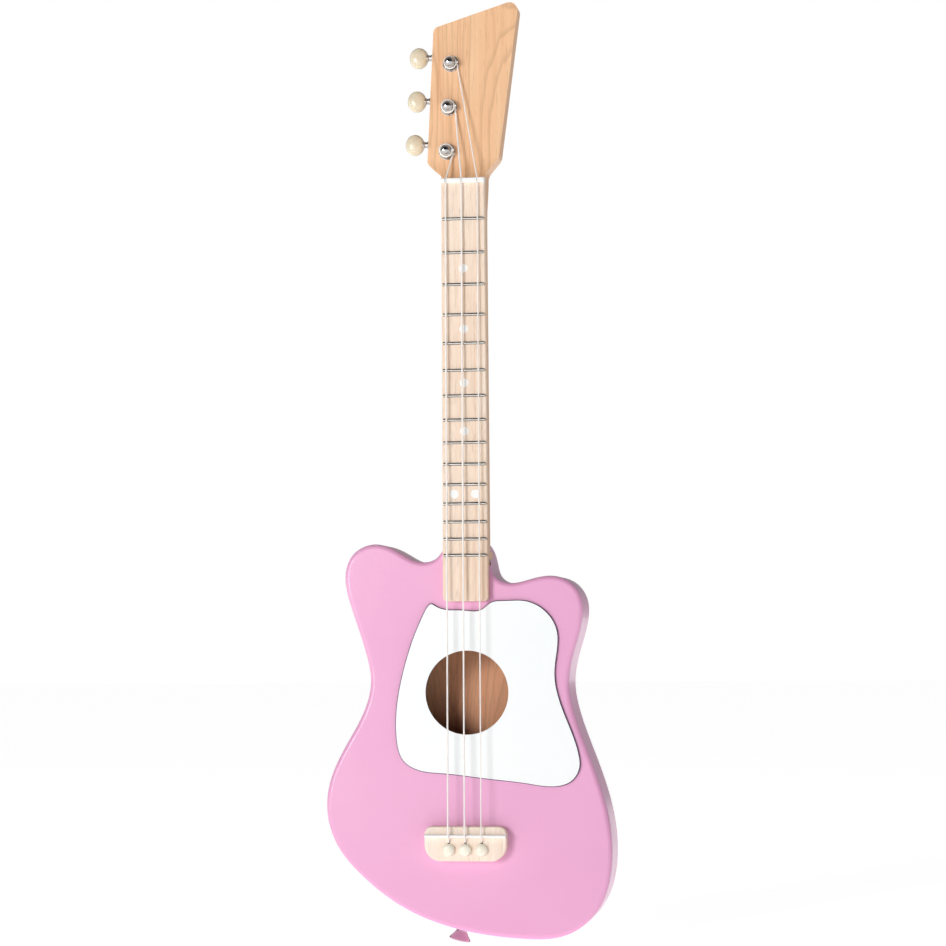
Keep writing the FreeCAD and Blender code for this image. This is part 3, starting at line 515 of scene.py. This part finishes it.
def throat_section(share, front_y):
    """One half-round section of the fairing, squarer towards the top."""
    eased = share * share * (3 - 2 * share)
    power = THROAT_ROUND + eased * (THROAT_SQUARE - THROAT_ROUND)
    swell = THROAT_SUNK + THROAT_LIFT * min(1, 3 * share)
    points = []
    for side in range(THROAT_SIDES + 1):
        angle = math.pi * side / THROAT_SIDES
        across = math.copysign(abs(math.cos(angle)) ** power, math.cos(angle))
        x = (THROAT_HALF_WIDTH + swell) * across
        y = front_y + (THROAT_BACK + swell - front_y) * math.sin(angle) ** power
        points.append((x, y, THROAT_BOTTOM + THROAT_HEIGHT * share))
    return points


def build_neck_throat(materials):
    """Fairing where the rounded grip grows square into the headstock's back."""
    front_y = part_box("neck")[0].y + THROAT_INSET
    mesh = bmesh.new()
    rings = []
    for step in range(THROAT_STEPS + 1):
        section = throat_section(step / THROAT_STEPS, front_y)
        rings.append([mesh.verts.new(point) for point in section])
    for below, above in zip(rings, rings[1:]):
        for side in range(THROAT_SIDES):
            mesh.faces.new((below[side], below[side + 1], above[side + 1], above[side]))
    skin = set(mesh.faces)
    for face in skin:
        face.smooth = True
    mesh.faces.new(list(reversed(rings[0])))
    mesh.faces.new(rings[-1])
    for below, above in zip(rings, rings[1:]):
        mesh.faces.new((below[0], above[0], above[-1], below[-1]))
    bmesh.ops.recalc_face_normals(mesh, faces=mesh.faces)
    hard = [edge for edge in mesh.edges if len(skin.intersection(edge.link_faces)) == 1]
    bmesh.ops.split_edges(mesh, edges=hard)
    throat = as_object("neck_throat", mesh)
    finish_piece(throat, "root", materials["neck_maple"])


# ---- stage -----------------------------------------------------------------------------


def add_camera():
    data = bpy.data.cameras.new("view")
    data.sensor_width = SENSOR_WIDTH
    data.lens = LENS_PER_SENSOR * SENSOR_WIDTH
    data.clip_start, data.clip_end = 0.05, 60
    camera = bpy.data.objects.new("view", data)
    bpy.context.scene.collection.objects.link(camera)
    across = Vector((math.cos(VIEW_YAW), math.sin(VIEW_YAW), 0))
    ahead = Vector((-math.sin(VIEW_YAW), math.cos(VIEW_YAW), 0)) * math.cos(VIEW_PITCH)
    ahead.z = -math.sin(VIEW_PITCH)
    up = across.cross(ahead)
    right = across * math.cos(VIEW_ROLL) + up * math.sin(VIEW_ROLL)
    top = up * math.cos(VIEW_ROLL) - across * math.sin(VIEW_ROLL)
    turn = Matrix((right, top, -ahead)).transposed()
    camera.matrix_world = Matrix.Translation(VIEW_AIM - ahead * VIEW_DISTANCE) @ turn.to_4x4()
    bpy.context.scene.camera = camera


def add_floor():
    """A plain pale floor, bright enough to meet the white background."""
    mesh = bmesh.new()
    bmesh.ops.create_grid(mesh, x_segments=8, y_segments=8, size=FLOOR_SIZE)
    floor = as_object("floor", mesh)
    floor.location.z = CAD_LOW.z - FLOOR_GAP
    nodes = Nodes("floor_paper")
    shade = nodes.ramp(nodes.noise(3.0, 2.0), [(0.3, (0.90, 0.90, 0.90)), (0.7, (0.92, 0.92, 0.92))])
    nodes.set(Base_Color=shade, Roughness=0.9, Emission_Color=WHITE, Emission_Strength=FLOOR_GLOW)
    floor.data.materials.append(nodes.material)


def add_world():
    """White where the camera sees it; as a light, dim in front of the part and brighter behind."""
    world = bpy.data.worlds.new("studio")
    bpy.context.scene.world = world
    world.use_nodes = True
    tree = world.node_tree
    background = tree.nodes["Background"]
    path = tree.nodes.new("ShaderNodeLightPath")
    place = tree.nodes.new("ShaderNodeTexCoord")
    gradient = tree.nodes.new("ShaderNodeSeparateXYZ")
    rise = tree.nodes.new("ShaderNodeMapRange")
    for key, value in WORLD_RISE.items():
        rise.inputs[key].default_value = value
    strength = tree.nodes.new("ShaderNodeMath")
    strength.operation = "MAXIMUM"
    tree.links.new(place.outputs["Generated"], gradient.inputs["Vector"])
    tree.links.new(gradient.outputs["Y"], rise.inputs["Value"])
    tree.links.new(rise.outputs["Result"], strength.inputs[0])
    tree.links.new(path.outputs["Is Camera Ray"], strength.inputs[1])
    tree.links.new(strength.outputs["Value"], background.inputs["Strength"])
    background.inputs["Color"].default_value = WHITE


def add_key_light():
    data = bpy.data.lights.new("key", "AREA")
    data.shape = "RECTANGLE"
    data.size, data.size_y = KEY_SIZE, KEY_SIZE
    data.energy = KEY_POWER
    light = bpy.data.objects.new("key", data)
    bpy.context.scene.collection.objects.link(light)
    light.location = KEY_PLACE
    light.rotation_euler = (KEY_AIM - KEY_PLACE).to_track_quat("-Z", "Y").to_euler()


# ---- everything ------------------------------------------------------------------------

materials = slot_materials()
dress_nodes(materials)
bare_inside(materials)
dark_edges(materials)
build_bridge_pins(materials)
build_tuner_buttons(materials)
build_neck_throat(materials)
add_camera()
add_floor()
add_world()
add_key_light()
bpy.context.scene.view_settings.view_transform = "Standard"
